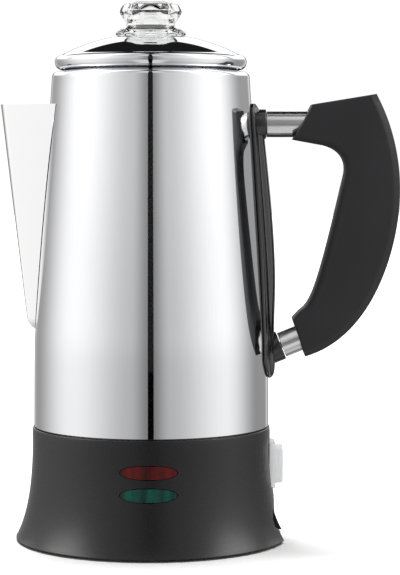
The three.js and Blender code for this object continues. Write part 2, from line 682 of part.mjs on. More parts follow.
add(pot, "base_housing", baseHousing(), BLACK_PLASTIC);
add(pot, "bottom_cover", bottomCover(), BLACK_PLASTIC);
FOOT_ANGLES.forEach((angle, i) => {
  add(pot, `foot_${i + 1}`, foot(), RUBBER, FOOT_R * Math.cos(angle), FOOT_R * Math.sin(angle));
});
COVER_SCREW_ANGLES.forEach((angle, i) => {
  const [x, y] = [COVER_SCREW_R * Math.cos(angle), COVER_SCREW_R * Math.sin(angle)];
  add(pot, `cover_screw_${i + 1}`, coverScrew(), PLAIN_STEEL, x, y);
});

add(pot, "red_lens", lens(RED_LAMP_Z), RED_LENS);
add(pot, "green_lens", lens(GREEN_LAMP_Z), GREEN_LENS);
add(pot, "lamp_holder", lampHolder(), PHENOLIC);
add(pot, "red_lamp", neonLamp(), LAMP_GLASS, 0, -60, RED_LAMP_Z);
add(pot, "green_lamp", neonLamp(), LAMP_GLASS, 0, -60, GREEN_LAMP_Z);
add(pot, "switch_housing", switchHousing(), PHENOLIC);
add(pot, "switch_boot", switchBoot(), SILICONE);
add(pot, "inlet_block", inletBlock(), PHENOLIC);
add(pot, "inlet_pin_left", inletPin(-1), PLAIN_STEEL);
add(pot, "inlet_pin_right", inletPin(1), PLAIN_STEEL);
const LEADS = {
  lead_inlet_to_switch: [[41, 6.35, 14.6], [34, 7, 20], [33, 4, 30], [37, 0, 36.6]],
  lead_inlet_to_fuse: [[41, -6.35, 14.6], [20, -10, 16], [-20, -10, 18], [-36, -12, 30], [-38, -10.5, 45]],
  lead_switch_to_thermostat: [[37, 2, 47.8], [32, 10, 38], [24, 28, 34], [8, 34, 32], [1, 35.5, 36.6]],
};
for (const [name, points] of Object.entries(LEADS)) add(pot, name, lead(points), LEAD);

add(pot, "handle_bracket", handleBracket(), BLACK_PLASTIC);
add(pot, "bracket_clip", bracketClip(), PLAIN_STEEL);
add(pot, "upper_sleeve", onUpperArm(sleeve(64.6, 91.7)), STEEL);
add(pot, "lower_sleeve", onLowerArm(sleeve(GAP, 20)), STEEL);
add(pot, "upper_handle_screw", onUpperArm(handleScrew(57.8, 43)), PLAIN_STEEL);
add(pot, "lower_handle_screw", onLowerArm(handleScrew(-5.7, 36)), PLAIN_STEEL);
add(pot, "upper_grip_insert", onUpperArm(insert(92.4, 104)), BRASS);
add(pot, "lower_grip_insert", onLowerArm(insert(20.7, 32)), BRASS);
add(pot, "handle_grip", handleGrip(), BLACK_PLASTIC);

add(body(), "switch_rocker", switchRocker(), ROCKER_BLUE);

const pump = body();
add(pump, "pump_stem", pumpStem(), ALUMINIUM);
add(pump, "pump_foot", pumpFoot(), ALUMINIUM);
add(body(pump), "valve_washer", valveWasher(), ALUMINIUM);
const basketBody = body(pump);
add(basketBody, "basket", basket(), ALUMINIUM);
const spreaderBody = body(basketBody);
add(spreaderBody, "spreader", spreader(), ALUMINIUM);
const lidBody = body(spreaderBody);
add(lidBody, "lid", lid(), STEEL);
add(body(lidBody), "lid_knob", lidKnob(), CLEAR_GLASS);

export default percolator;
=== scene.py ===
"""Electric coffee percolator: the looks of every sub-part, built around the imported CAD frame."""

import math

import bmesh
import bpy
from mathutils import Matrix, Vector


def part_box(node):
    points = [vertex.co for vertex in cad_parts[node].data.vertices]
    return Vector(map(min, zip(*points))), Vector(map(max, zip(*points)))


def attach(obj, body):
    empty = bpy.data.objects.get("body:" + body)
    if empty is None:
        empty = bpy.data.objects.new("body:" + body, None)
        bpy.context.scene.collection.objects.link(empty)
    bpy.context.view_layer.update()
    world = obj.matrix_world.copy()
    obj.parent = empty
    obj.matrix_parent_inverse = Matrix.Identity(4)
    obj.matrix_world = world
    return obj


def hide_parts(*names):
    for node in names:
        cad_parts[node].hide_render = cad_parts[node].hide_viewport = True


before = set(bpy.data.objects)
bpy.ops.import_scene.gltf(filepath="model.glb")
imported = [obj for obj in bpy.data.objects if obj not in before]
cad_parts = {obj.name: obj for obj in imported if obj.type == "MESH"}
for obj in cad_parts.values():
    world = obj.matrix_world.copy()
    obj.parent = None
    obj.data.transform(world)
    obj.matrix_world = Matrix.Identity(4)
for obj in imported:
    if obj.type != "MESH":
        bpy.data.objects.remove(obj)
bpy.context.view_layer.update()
scene = bpy.context.scene

# ---------- sizes, in millimetres from the pot's axis at floor level ----------
MM = 0.001
_low, _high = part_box("pot_body")
AXIS_X = (_low.x + _high.x) / 2 / MM


def extent(node):
    """Lowest and highest corner of a CAD node, in millimetres from the pot's axis."""
    low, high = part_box(node)
    shift = Vector((AXIS_X, 0, 0))
    return low / MM - shift, high / MM - shift


def middle(node):
    low, high = extent(node)
    return (low + high) / 2


GAP = 0.3
SHEET = 0.8
WALL = 2.4
RIM_Z = extent("base_housing")[1].z
BASE_BOTTOM_Z = extent("base_housing")[0].z
POT_FLOOR_Z = extent("pot_body")[0].z
SHOULDER_Z = extent("pot_body")[1].z
POT_STEP_R = 62.8
MOUTH_R = 48.1
WELL_R = 10.8
STEM_R = 4.2
POLE_R = 0.001
STEM_BOTTOM_Z, STEM_TOP_Z = (corner.z for corner in extent("pump_stem"))
COLLAR_TOP_Z = 187.7
BASKET_R = 44.5
BASKET_RIM_Z = extent("basket")[1].z
LID_SEAT_Z = 281.2
LID_HOLE_R = 15.2
DOME_R = 108
DOME_TOP_Z = 283.2
KNOB_TOP_Z = extent("lid_knob")[1].z
UPPER_ARM_Z = middle("upper_sleeve").z
LOWER_ARM = (72.9, 109.1)
LOWER_RISE = math.radians(22)
SLEEVE_R = 7.3
SWITCH_Z = middle("switch_boot").z
INLET_Z = 14.6
LENS_HALF = (15.4, 3.7)
LENS_SQUARENESS = 2.15


def pot_radius(z):
    """The pot is a gentle cone that turns nearly straight low down."""
    cone = 55.1 + 0.0711 * (257.4 - z)
    foot = 65.8 - 0.0078 * (z - 64)
    blend = 0.25
    return -blend * math.log(math.exp(-cone / blend) + math.exp(-foot / blend))


# ---------- outlines ----------
def share(low, high, steps):
    """Evenly spaced values from low to high."""
    return [low + (high - low) * i / steps for i in range(steps + 1)]


def arc(x, y, radius, start, end, steps):
    """Points of a circular arc, angles in degrees."""
    angles = [math.radians(a) for a in share(start, end, steps)]
    return [(x + radius * math.cos(a), y + radius * math.sin(a)) for a in angles]


def bezier(p0, p1, p2, p3, steps):
    """Points of a cubic Bezier curve after its start."""
    points = []
    for t in share(0, 1, steps)[1:]:
        weights = ((1 - t) ** 3, 3 * t * (1 - t) ** 2, 3 * t * t * (1 - t), t**3)
        points.append(tuple(sum(w * p[i] for w, p in zip(weights, (p0, p1, p2, p3))) for i in (0, 1)))
    return points


def spline(points, steps):
    """A smooth curve through all the given points, each a tuple of numbers."""
    ends = [points[0], *points, points[-1]]
    curve = []
    for a, b, c, d in zip(ends, ends[1:], ends[2:], ends[3:]):
        for t in share(0, 1, steps)[:-1]:
            weights = (
                (-t + 2 * t**2 - t**3) / 2,
                (2 - 5 * t**2 + 3 * t**3) / 2,
                (t + 4 * t**2 - 3 * t**3) / 2,
                (t**3 - t**2) / 2,
            )
            curve.append(tuple(sum(w * v for w, v in zip(weights, vs)) for vs in zip(a, b, c, d)))
    return [*curve, tuple(points[-1])]


def rounded_rectangle(half_width, half_height, corner, steps=6):
    w, h = half_width - corner, half_height - corner
    return [
        *arc(w, h, corner, 0, 90, steps),
        *arc(-w, h, corner, 90, 180, steps),
        *arc(-w, -h, corner, 180, 270, steps),
        *arc(w, -h, corner, 270, 360, steps),
    ]


# ---------- mesh helpers ----------
def build(name, points, faces):
    """A mesh object from points in millimetres, with doubles merged and faces turned outwards."""
    mesh = bpy.data.meshes.new(name)
    mesh.from_pydata([((x + AXIS_X) * MM, y * MM, z * MM) for x, y, z in points], [], faces)
    work = bmesh.new()
    work.from_mesh(mesh)
    bmesh.ops.remove_doubles(work, verts=work.verts, dist=1e-7)
    bmesh.ops.dissolve_degenerate(work, edges=work.edges, dist=1e-8)
    bmesh.ops.recalc_face_normals(work, faces=work.faces)
    work.to_mesh(mesh)
    work.free()
    obj = bpy.data.objects.new(name, mesh)
    scene.collection.objects.link(obj)
    return obj


def same(x, y, z):
    return x, y, z


def along_x(x0, y0, z0):
    """Stands a piece turned about +Z along +X instead, from the given point."""
    return lambda x, y, z: (x0 + z, y0 + x, z0 + y)


def on_lower_arm(x, y, z):
    """Turns a piece drawn along +Z onto the lower sleeve's rising axis."""
    c, s = math.cos(LOWER_RISE), math.sin(LOWER_RISE)
    return LOWER_ARM[0] + z * c - y * s, x, LOWER_ARM[1] + z * s + y * c


def turned(name, outline, steps=160, centre=(0, 0), place=same):
    """A [radius, height] outline turned about an upright axis, closed on itself or at the axis."""
    on_axis = outline[0][0] < 1e-6 and outline[-1][0] < 1e-6
    count = len(outline)
    points = []
    for step in range(steps):
        angle = 2 * math.pi * step / steps
        for r, z in outline:
            points.append(place(centre[0] + r * math.cos(angle), centre[1] + r * math.sin(angle), z))
    faces = []
    for step in range(steps):
        here, there = step * count, (step + 1) % steps * count
        for i in range(count - 1 if on_axis else count):
            j = (i + 1) % count
            faces.append((here + i, here + j, there + j, there + i))
    return build(name, points, faces)


def skin(name, rings):
    """A closed body skinned over rings of points, with a flat cap at each end."""
    count = len(rings[0])
    points = [p for ring in rings for p in ring]
    faces = []
    for i in range(len(rings) - 1):
        for j in range(count):
            k = (j + 1) % count
            faces.append((i * count + j, i * count + k, (i + 1) * count + k, (i + 1) * count + j))
    faces.append(tuple(range(count)))
    faces.append(tuple(range(len(points) - count, len(points))))
    return build(name, points, faces)


def block(name, x0, x1, y0, y1, z0, z1):
    """A plain box, for cutting and joining."""
    corners = [(y0, z0), (y1, z0), (y1, z1), (y0, z1)]
    return skin(name, [[(x, y, z) for y, z in corners] for x in (x0, x1)])


def rods(name, routes, radius, steps=16):
    """Many separate straight rods as one mesh, each from one point to another, for cutting holes."""
    points, faces = [], []
    for start, end in routes:
        start, end = Vector(start), Vector(end)
        turn = (end - start).to_track_quat("Z", "Y")
        first = len(points)
        for base in (start, end):
            for step in range(steps):
                angle = 2 * math.pi * step / steps
                spoke = Vector((radius * math.cos(angle), radius * math.sin(angle), 0))
                points.append(tuple(base + turn @ spoke))
        for step in range(steps):
            a, b = first + step, first + (step + 1) % steps
            faces.append((a, b, b + steps, a + steps))
        faces.append(tuple(range(first, first + steps)))
        faces.append(tuple(range(first + steps, first + 2 * steps)))
    return build(name, points, faces)


def settle(obj):
    """Applies an object's modifiers to its mesh."""
    shaped = obj.evaluated_get(bpy.context.evaluated_depsgraph_get())
    mesh = bpy.data.meshes.new_from_object(shaped)
    obj.modifiers.clear()
    obj.data = mesh


def combine(obj, tools, operation="DIFFERENCE"):
    """Cuts or joins other objects into obj and removes them."""
    for tool in tools:
        modifier = obj.modifiers.new("combine", "BOOLEAN")
        modifier.operation = operation
        modifier.solver = "EXACT"
        modifier.object = tool
        settle(obj)
        bpy.data.objects.remove(tool)
    return obj


def soften(obj, width, segments=3, angle=40):
    """Rounds an object's sharp edges."""
    modifier = obj.modifiers.new("soften", "BEVEL")
    modifier.width = width * MM
    modifier.segments = segments
    modifier.limit_method = "ANGLE"
    modifier.angle_limit = math.radians(angle)
    modifier.harden_normals = False
    return obj


def smooth(obj, sharp=32):
    obj.data.shade_smooth()
    obj.data.set_sharp_from_angle(angle=math.radians(sharp))


def piece(obj, material, body, nodes, sharp=32):
    """Gives a finished mesh its material and its body, and hides the CAD nodes it stands for."""
    smooth(obj, sharp)
    obj.data.materials.clear()
    obj.data.materials.append(material)
    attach(obj, body)
    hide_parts(*nodes)
    return obj


# ---------- shader helpers ----------
def calculate(tree, operation, *values):
    """A math node's output for sockets or plain numbers."""
    node = tree.nodes.new("ShaderNodeMath")
    node.operation = operation
    for socket, value in zip(node.inputs, values):
        if isinstance(value, (int, float)):
            socket.default_value = value
        else:
            tree.links.new(value, socket)
    return node.outputs[0]


def fade(tree, value, start, end, low=0.0, high=1.0):
    """A smooth change from low to high while value runs from start to end."""
    node = tree.nodes.new("ShaderNodeMapRange")
    node.interpolation_type = "SMOOTHSTEP"
    tree.links.new(value, node.inputs["Value"])
    node.inputs["From Min"].default_value = start
    node.inputs["From Max"].default_value = end
    node.inputs["To Min"].default_value = low
    node.inputs["To Max"].default_value = high
    return node.outputs["Result"]


def blend(tree, factor, a, b):
    """Mixes two numbers or sockets by a factor."""
    node = tree.nodes.new("ShaderNodeMix")
    node.data_type = "FLOAT"
    tree.links.new(factor, node.inputs["Factor"])
    for socket, value in ((node.inputs["A"], a), (node.inputs["B"], b)):
        if isinstance(value, (int, float)):
            socket.default_value = value
        else:
            tree.links.new(value, socket)
    return node.outputs["Result"]


def noise(tree, scale, detail=3.0, stretch=(1, 1, 1)):
    """Noise over the object's own coordinates, with scale in lumps per millimetre."""
    coordinates = tree.nodes.new("ShaderNodeTexCoord")
    mapping = tree.nodes.new("ShaderNodeMapping")
    mapping.inputs["Scale"].default_value = stretch
    texture = tree.nodes.new("ShaderNodeTexNoise")
    texture.inputs["Scale"].default_value = scale / MM
    texture.inputs["Detail"].default_value = detail
    tree.links.new(coordinates.outputs["Object"], mapping.inputs["Vector"])
    tree.links.new(mapping.outputs["Vector"], texture.inputs["Vector"])
    return texture.outputs["Fac"]


def tone(tree, factor, dark, light):
    """A colour that varies from dark to light with a factor."""
    ramp = tree.nodes.new("ShaderNodeValToRGB")
    ramp.color_ramp.elements[0].position = 0.3
    ramp.color_ramp.elements[1].position = 0.7
    ramp.color_ramp.elements[0].color = (*dark, 1)
    ramp.color_ramp.elements[1].color = (*light, 1)
    tree.links.new(factor, ramp.inputs["Fac"])
    return ramp.outputs["Color"]


def relief(tree, shader, height, depth, strength=1.0):
    """Bump from a height, depth in millimetres."""
    bump = tree.nodes.new("ShaderNodeBump")
    bump.inputs["Strength"].default_value = strength
    bump.inputs["Distance"].default_value = depth * MM
    tree.links.new(height, bump.inputs["Height"])
    tree.links.new(bump.outputs["Normal"], shader.inputs["Normal"])


def base_material(name, **values):
    """A Principled material with the given constant inputs."""
    material = bpy.data.materials.new(name)
    material.use_nodes = True
    tree = material.node_tree
    shader = tree.nodes["Principled BSDF"]
    for key, value in values.items():
        shader.inputs[key.replace("_", " ")].default_value = value
    return material, tree, shader


# ---------- materials ----------
def metal(name, dark, light, rough, grain, stretch=(1, 1, 1), depth=0.0):
    """A bare metal with fine directional grain in its colour and roughness."""
    material, tree, shader = base_material(name, Metallic=1.0)
    fine = noise(tree, grain, 4, stretch)
    broad = noise(tree, 0.03, 2)
    tree.links.new(tone(tree, fine, dark, light), shader.inputs["Base Color"])
    tree.links.new(fade(tree, broad, 0.3, 0.7, rough[0], rough[1]), shader.inputs["Roughness"])
    if depth:
        relief(tree, shader, fine, depth)
    return material


def spout_steel_painted_shade():
    """Polished sheet with painted shade: its base colour darkens towards grazing view."""
    material, tree, shader = base_material("spout_steel_painted_shade", Metallic=1.0)
    turning = tree.nodes.new("ShaderNodeLayerWeight")
    turning.inputs["Blend"].default_value = 0.5
    # painted shade: the facing value darkens the base colour where the sheet turns away from view, in place
    # of its dark reflection
    edge = fade(tree, turning.outputs["Facing"], 0.3, 0.85, 0.2, 0.8)
    tree.links.new(tone(tree, edge, (0.925, 0.93, 0.935), (0.3, 0.3, 0.3)), shader.inputs["Base Color"])
    tree.links.new(fade(tree, noise(tree, 0.03, 2), 0.3, 0.7, 0.05, 0.09), shader.inputs["Roughness"])
    return material


def plastic(name, dark, light, rough, grain, depth, broad_scale=0.02, level=0.5):
    """A moulded plastic with fine grain and slow changes of gloss."""
    material, tree, shader = base_material(name, Specular_IOR_Level=level)
    fine = noise(tree, grain, 5)
    broad = noise(tree, broad_scale, 2)
    tree.links.new(tone(tree, broad, dark, light), shader.inputs["Base Color"])
    tree.links.new(fade(tree, fine, 0.3, 0.7, rough[0], rough[1]), shader.inputs["Roughness"])
    relief(tree, shader, fine, depth)
    return material


def glass(name, colour, rough, ior=1.5):
    """Clear or tinted glass with faint ripples from pressing."""
    material, tree, shader = base_material(name, Transmission_Weight=1.0, IOR=ior)
    ripple = noise(tree, 0.05, 2)
    tree.links.new(tone(tree, ripple, [0.97 * c for c in colour], colour), shader.inputs["Base Color"])
    tree.links.new(fade(tree, ripple, 0.2, 0.8, rough, rough * 1.6), shader.inputs["Roughness"])
    relief(tree, shader, ripple, 0.02, 0.3)
    return material


def lens_plastic(name, deep, edge):
    """Tinted, nearly opaque lens plastic with upright streaks in its colour and gloss."""
    material, tree, shader = base_material(name, IOR=1.45, Transmission_Weight=0.1, Specular_IOR_Level=0.25)
    streaks = noise(tree, 0.22, 3, (1, 1, 0.1))
    tree.links.new(tone(tree, streaks, deep, edge), shader.inputs["Base Color"])
    tree.links.new(fade(tree, streaks, 0.3, 0.7, 0.16, 0.3), shader.inputs["Roughness"])
    return material


def silicone_material():
    material, tree, shader = base_material("silicone", IOR=1.3, Transmission_Weight=0.38)
    cloud = noise(tree, 0.1, 3)
    tree.links.new(tone(tree, cloud, (0.93, 0.94, 0.955), (0.97, 0.975, 0.98)), shader.inputs["Base Color"])
    tree.links.new(fade(tree, cloud, 0.3, 0.7, 0.16, 0.24), shader.inputs["Roughness"])
    relief(tree, shader, noise(tree, 1.5, 2), 0.01, 0.3)
    return material


POLISHED = metal(
    "polished_steel", (0.80, 0.81, 0.83), (0.815, 0.825, 0.845), (0.025, 0.045), 0.9, (1, 1, 0.03)
)
SPOUT_STEEL_PAINTED_SHADE = spout_steel_painted_shade()
SATIN = metal("satin_steel", (0.89, 0.89, 0.90), (0.91, 0.91, 0.92), (0.2, 0.22), 1.4, (0.1, 1, 1))
PLAIN = metal("plain_steel", (0.42, 0.42, 0.43), (0.56, 0.56, 0.57), (0.28, 0.42), 1.2, (1, 1, 0.2), 0.02)
ALUMINIUM = metal("aluminium", (0.58, 0.59, 0.60), (0.72, 0.73, 0.74), (0.3, 0.44), 1.6, (1, 1, 0.08), 0.02)
BRASS = metal("brass", (0.45, 0.30, 0.11), (0.58, 0.41, 0.17), (0.26, 0.4), 1.2, (1, 1, 0.2), 0.02)
BLACK = plastic(
    "black_plastic", (0.0030, 0.0030, 0.0036), (0.0045, 0.0045, 0.0053), (0.26, 0.33), 2.2, 0.02, level=0.42
)
BRACKET_BLACK = plastic(
    "bracket_plastic", (0.0030, 0.0030, 0.0036), (0.0045, 0.0045, 0.0053), (0.18, 0.24), 2.2, 0.02, level=0.9
)
GRIP_BLACK = plastic(
    "grip_plastic", (0.0155, 0.0155, 0.017), (0.019, 0.019, 0.0205), (0.42, 0.52), 2.6, 0.03, level=0.2
)
PHENOLIC = plastic("phenolic", (0.010, 0.008, 0.007), (0.018, 0.015, 0.013), (0.35, 0.55), 1.5, 0.03)
RUBBER = plastic("rubber", (0.006, 0.006, 0.006), (0.012, 0.012, 0.012), (0.7, 0.9), 1.2, 0.08)
ROCKER = plastic("rocker_plastic", (0.15, 0.19, 0.26), (0.18, 0.22, 0.30), (0.3, 0.45), 2.0, 0.02)
LEAD = plastic("lead_sleeving", (0.62, 0.60, 0.56), (0.72, 0.70, 0.66), (0.5, 0.7), 2.0, 0.08)
SILICONE = silicone_material()
RED = lens_plastic("red_lens", (0.020, 0.0004, 0.0003), (0.095, 0.001, 0.0005))
GREEN = lens_plastic("green_lens", (0.0002, 0.010, 0.008), (0.0004, 0.065, 0.046))
LAMP_GLASS = glass("lamp_glass", (0.90, 0.87, 0.82), 0.02, 1.45)
CLEAR = glass("clear_glass", (0.985, 0.99, 0.99), 0.008)


# ---------- pot ----------
def pot_wall(offset, low, high, steps):
    return [(pot_radius(z) + offset, z) for z in share(low, high, steps)]


def pot_space():
    """The room that the pot takes up, with a seating gap around it."""
    outline = [(0, 60), *pot_wall(GAP, 64.6, 257.4, 40), (55.4, 262), (0, 262)]
    return turned("pot_space", outline, 288)


def make_pot():
    seat = RIM_Z + GAP
    outline = [
        (WELL_R + 0.5, POT_FLOOR_Z),
        *arc(POT_STEP_R - 2.5, POT_FLOOR_Z + 2.5, 2.5, -90, 0, 8),
        (POT_STEP_R, seat),
        (65.3, seat),
        *pot_wall(0, 64.6, 257.4, 48),
        *arc(51.6, 258.4, 3.5, 10, 90, 16),
        *arc(MOUTH_R + 1.2, SHOULDER_Z - 1.2, 1.2, 90, 180, 8),
        (MOUTH_R, 256),
        (MOUTH_R + SHEET, 256),
        (MOUTH_R + SHEET, SHOULDER_Z - 1.2),
        *arc(51.6, 258.4, 3.5 - SHEET, 90, 10, 12),
        *pot_wall(-SHEET, 64.8, 257.4, 24)[::-1],
        (POT_STEP_R - SHEET, seat + SHEET),
        *arc(POT_STEP_R - 2.5, POT_FLOOR_Z + 2.5, 2.5 - SHEET, 0, -90, 8),
        (WELL_R + 0.5, POT_FLOOR_Z + SHEET),
    ]
    pot = turned("pot_shell", outline, 288)
    holes = []
    for row in range(6):
        z = 176 + 10 * row
        across = 1 if row < 3 else 2
        for i in range(across):
            y = (i - (across - 1) / 2) * 7
            holes.append(((-66, y, z), (-48, y, z)))
    combine(pot, [rods("strainer", holes, 1.8, 24)])
    piece(pot, POLISHED, "pot", ["pot_body"], 28)


SPOUT_LEAN = 30


def spout_slice(z, inset):
    """One level slice through the spout: two straight sides that meet in a round nose."""
    nose_x = 83.7 - 0.1165 * (243.8 - z)
    nose = 2 + 0.042 * max(z - 126, 0)
    centre_x = nose_x - nose
    radius = nose - inset
    lean = math.radians(SPOUT_LEAN)
    turn = 90 - SPOUT_LEAN
    back_x = pot_radius(z) - 12
    spread = radius / math.cos(lean) + (centre_x - back_x) * math.tan(lean)
    front = [(-x, y, z) for x, y in arc(centre_x, 0, radius, -turn, turn, 24)]
    return [(-back_x, -spread, z), *front, (-back_x, spread, z)]


def make_spout():
    def shrink(z, step):
        return [(x + step, y * (1 - step / 9), z) for x, y, _ in spout_slice(126, 0)]

    toe_steps = ((117.5, 6), (118.1, 4.9), (119, 3.6), (120.4, 2.2), (122, 1.1), (124, 0.3))
    toe = [shrink(z, step) for z, step in toe_steps]
    heights = [z for part in ((126, 150, 4), (150, 180, 5)) for z in share(*part)[:-1]]
    heights += share(180, 243.8, 10)
    outside = skin("spout_sheet", [*toe, *(spout_slice(z, 0) for z in heights)])
    inner_heights = [127.5, *[z for z in heights if 128 < z < 243], 245]
    inside = skin("spout_inside", [spout_slice(z, SHEET) for z in inner_heights])
    combine(outside, [inside, pot_space()])
    piece(outside, SPOUT_STEEL_PAINTED_SHADE, "pot", ["spout"], 28)


# ---------- base ----------
def housing_outline(offset, steps=20):
    start = (66.7, 54)
    flare = [start, *bezier(start, (67.1, 30), (69.9, 14), (76.3, BASE_BOTTOM_Z), steps)]
    return [(r + offset, z) for r, z in flare]


def housing_radius(z):
    """Radius of the base's outside at a height on its flare."""
    outline = housing_outline(0, 60)
    for (r0, z0), (r1, z1) in zip(outline, outline[1:]):
        if z1 <= z <= z0:
            return r0 + (r1 - r0) * (z0 - z) / (z0 - z1)
    return 66.75


def lens_half_width(rise, grow=0.0):
    """Half width of a lens's oval at a height above its middle."""
    w, h = LENS_HALF[0] + grow, LENS_HALF[1] + grow
    return w * max(1 - (abs(rise) / h) ** LENS_SQUARENESS, 0) ** (1 / LENS_SQUARENESS)


def lens_prism(z, grow):
    """A straight prism of the lens's oval, for cutting its window."""
    h = LENS_HALF[1] + grow
    rises = [h * math.sin(math.radians(a)) for a in share(-90, 90, 32)]
    outline = [(lens_half_width(v, grow), z + v) for v in rises]
    outline += [(-w, level) for w, level in outline[::-1][1:-1]]
    return skin("lens_prism", [[(x, y, v) for x, v in outline] for y in (-80, -55)])


def slot_prism(half_length, half_height, x0, x1, z):
    """A round-ended slot extruded along +X."""
    outline = rounded_rectangle(half_length, half_height, half_height - 0.01, 10)
    return skin("slot_prism", [[(x, y, z + v) for y, v in outline] for x in (x0, x1)])


RED_Z = middle("red_lens").z
GREEN_Z = middle("green_lens").z


def make_housing():
    outer = [*arc(65.9, RIM_Z - 0.6, 0.6, 90, 0, 5), (66.75, 61), *housing_outline(0)]
    foot_edge = arc(75.6, BASE_BOTTOM_Z + 0.6, 0.6, 0, -90, 4)
    inner = [*housing_outline(-WALL)[::-1], (64.2, 61), (63.1, RIM_Z - 2), (63.1, RIM_Z - 0.3), (63.4, RIM_Z)]
    shell = turned("base_shell", [*outer[:-1], *foot_edge, *inner], 192)
    filled = turned("filled", [(0, RIM_Z), *outer, (0, BASE_BOTTOM_Z)], 192)
    recess = combine(block("recess", 66.4, 80, -24.6, 19.8, BASE_BOTTOM_Z, 27), [filled], "INTERSECT")
    notch = [(67.8, 27.1), (67.8, 9.9), (74.6, 5), (82, 3), (82, 27.1)]
    notch_sides = (-22.2, -17.1)
    pad = block("switch_pad", 63, 67.2, -8.6, 8.6, SWITCH_Z - 12.2, SWITCH_Z + 12.2)
    combine(shell, [recess, pad], "UNION")
    slot_cut = slot_prism(14.5, 7.5, 60, 70, INLET_Z)
    combine(
        shell,
        [
            block("recess_cut", 69, 80, -17.4, 17.4, 0, 30),
            skin("notch_cut", [[(x, y, z) for x, z in notch] for y in notch_sides]),
            slot_cut,
            block("pad_cut", 67.2, 75, -11, 11, 28.6, 55.8),
            block("switch_cut", 60, 70, -7.2, 7.2, SWITCH_Z - 9.7, SWITCH_Z + 9.7),
            lens_prism(RED_Z, GAP),
            lens_prism(GREEN_Z, GAP),
        ],
    )
    boss_outline = [(1.7, 5.8), (4.5, 5.8), (4.5, 20), (0, 20), (0, 18), (1.7, 18)]
    bosses = []
    for i in range(3):
        screw = middle(f"cover_screw_{i + 1}")
        bosses.append(turned("boss", boss_outline, 32, (screw.x, screw.y)))
    combine(shell, bosses, "UNION")
    piece(shell, BLACK, "pot", ["base_housing"], 30)


def make_lens(name, z, material):
    """A lens with fine level ribs that follows the base's curve."""
    rows = 97
    columns = 40
    ribs = 9
    half = LENS_HALF[1]
    fronts, backs = [], []
    for row in range(rows):
        rise = half * 0.96 * (2 * row / (rows - 1) - 1)
        width = lens_half_width(rise) - 0.15
        radius = housing_radius(z + rise)
        rib = 0.16 * math.sin(ribs * math.pi * (rise / half + 1) / 2) ** 2
        for column in range(columns + 1):
            x = width * (2 * column / columns - 1)
            crown = 0.25 * (1 - (rise / half) ** 2)
            face = radius + 0.02 + rib + crown * (1 - (x / LENS_HALF[0]) ** 2)
            fronts.append((x, -math.sqrt(face**2 - x * x), z + rise))
            backs.append((x, -math.sqrt((radius - 3.6) ** 2 - x * x), z + rise))
    stride = columns + 1
    size = rows * stride
    faces = []
    for row in range(rows - 1):
        for column in range(columns):
            a = row * stride + column
            faces.append((a, a + 1, a + 1 + stride, a + stride))
            faces.append((size + a, size + a + stride, size + a + 1 + stride, size + a + 1))
        for edge in (row * stride, row * stride + columns):
            faces.append((edge, edge + stride, size + edge + stride, size + edge))
    for column in range(columns):
        for a in (column, (rows - 1) * stride + column):
            faces.append((a, a + 1, size + a + 1, size + a))
    body = build(name, fronts + backs, faces)
    piece(body, material, "pot", [name.replace("_ribbed", "")], 50)


def make_cover():
    plate = turned("bottom_plate", [(0, 3), (70.2, 3), (70.8, 3.5), (70.8, 5.4), (0, 5.4)], 128)
    vents = []
    for i in range(8):
        angle = i * math.pi / 4
        ring = rounded_rectangle(9, 1.2, 1.1, 6)
        turn = Matrix.Rotation(angle, 3, "Z")
        centre = Vector((28 * math.cos(angle), 28 * math.sin(angle), 0))
        levels = [[tuple(turn @ Vector((x, y, z)) + centre) for x, y in ring] for z in (2, 6)]
        vents.append(skin("vent", levels))
    screw_holes = [middle(f"cover_screw_{i + 1}") for i in range(3)]
    foot_holes = [middle(f"foot_{i + 1}") for i in range(4)]
    combine(
        plate,
        [
            *vents,
            rods("screw_holes", [((p.x, p.y, 2), (p.x, p.y, 6)) for p in screw_holes], 1.8, 24),
            rods("foot_holes", [((p.x, p.y, 2), (p.x, p.y, 6)) for p in foot_holes], 3, 32),
            block("flat", 66.1, 80, -25, 25, 2, 6),
        ],
    )
    piece(plate, BLACK, "pot", ["bottom_cover"])


def make_feet():
    outline = [
        (0, 0.3), (3.2, 0.3), (3.6, 0), (5.4, 0), *arc(5.5, 1, 1, -60, 0, 4),
        (6.5, 1.5), (6.2, 1.8), (6.5, 2.1),
        (6.5, 2.7), (2.5, 2.7), (2.5, 5.7), (1.6, 6.3), (0, 6.4),
    ]
    for i in range(4):
        name = f"foot_{i + 1}"
        centre = middle(name)
        obj = turned(f"rubber_{name}", outline, 40, (centre.x, centre.y))
        piece(obj, RUBBER, "pot", [name], 50)


def make_cover_screws():
    outline = [
        (0, 1.2), (2.4, 1.2), *arc(2.4, 2, 0.8, -90, 0, 5), (3.2, 2.7), (1.35, 2.7), (1.35, 15), (0, 16.8),
    ]
    for i in range(3):
        name = f"cover_screw_{i + 1}"
        centre = middle(name)
        obj = turned(f"steel_{name}", outline, 32, (centre.x, centre.y))
        arms = [block("slot", *(centre.x + s for s in (-a, a)), *(centre.y + s for s in (-b, b)), 1, 2)
                for a, b in ((1.9, 0.35), (0.35, 1.9))]
        combine(obj, arms)
        piece(obj, PLAIN, "pot", [name])


# ---------- switch and inlet ----------
def boot_ring(half_width, half_height, corner, x):
    return [(x, y, SWITCH_Z + v) for y, v in rounded_rectangle(half_width, half_height, corner, 8)]


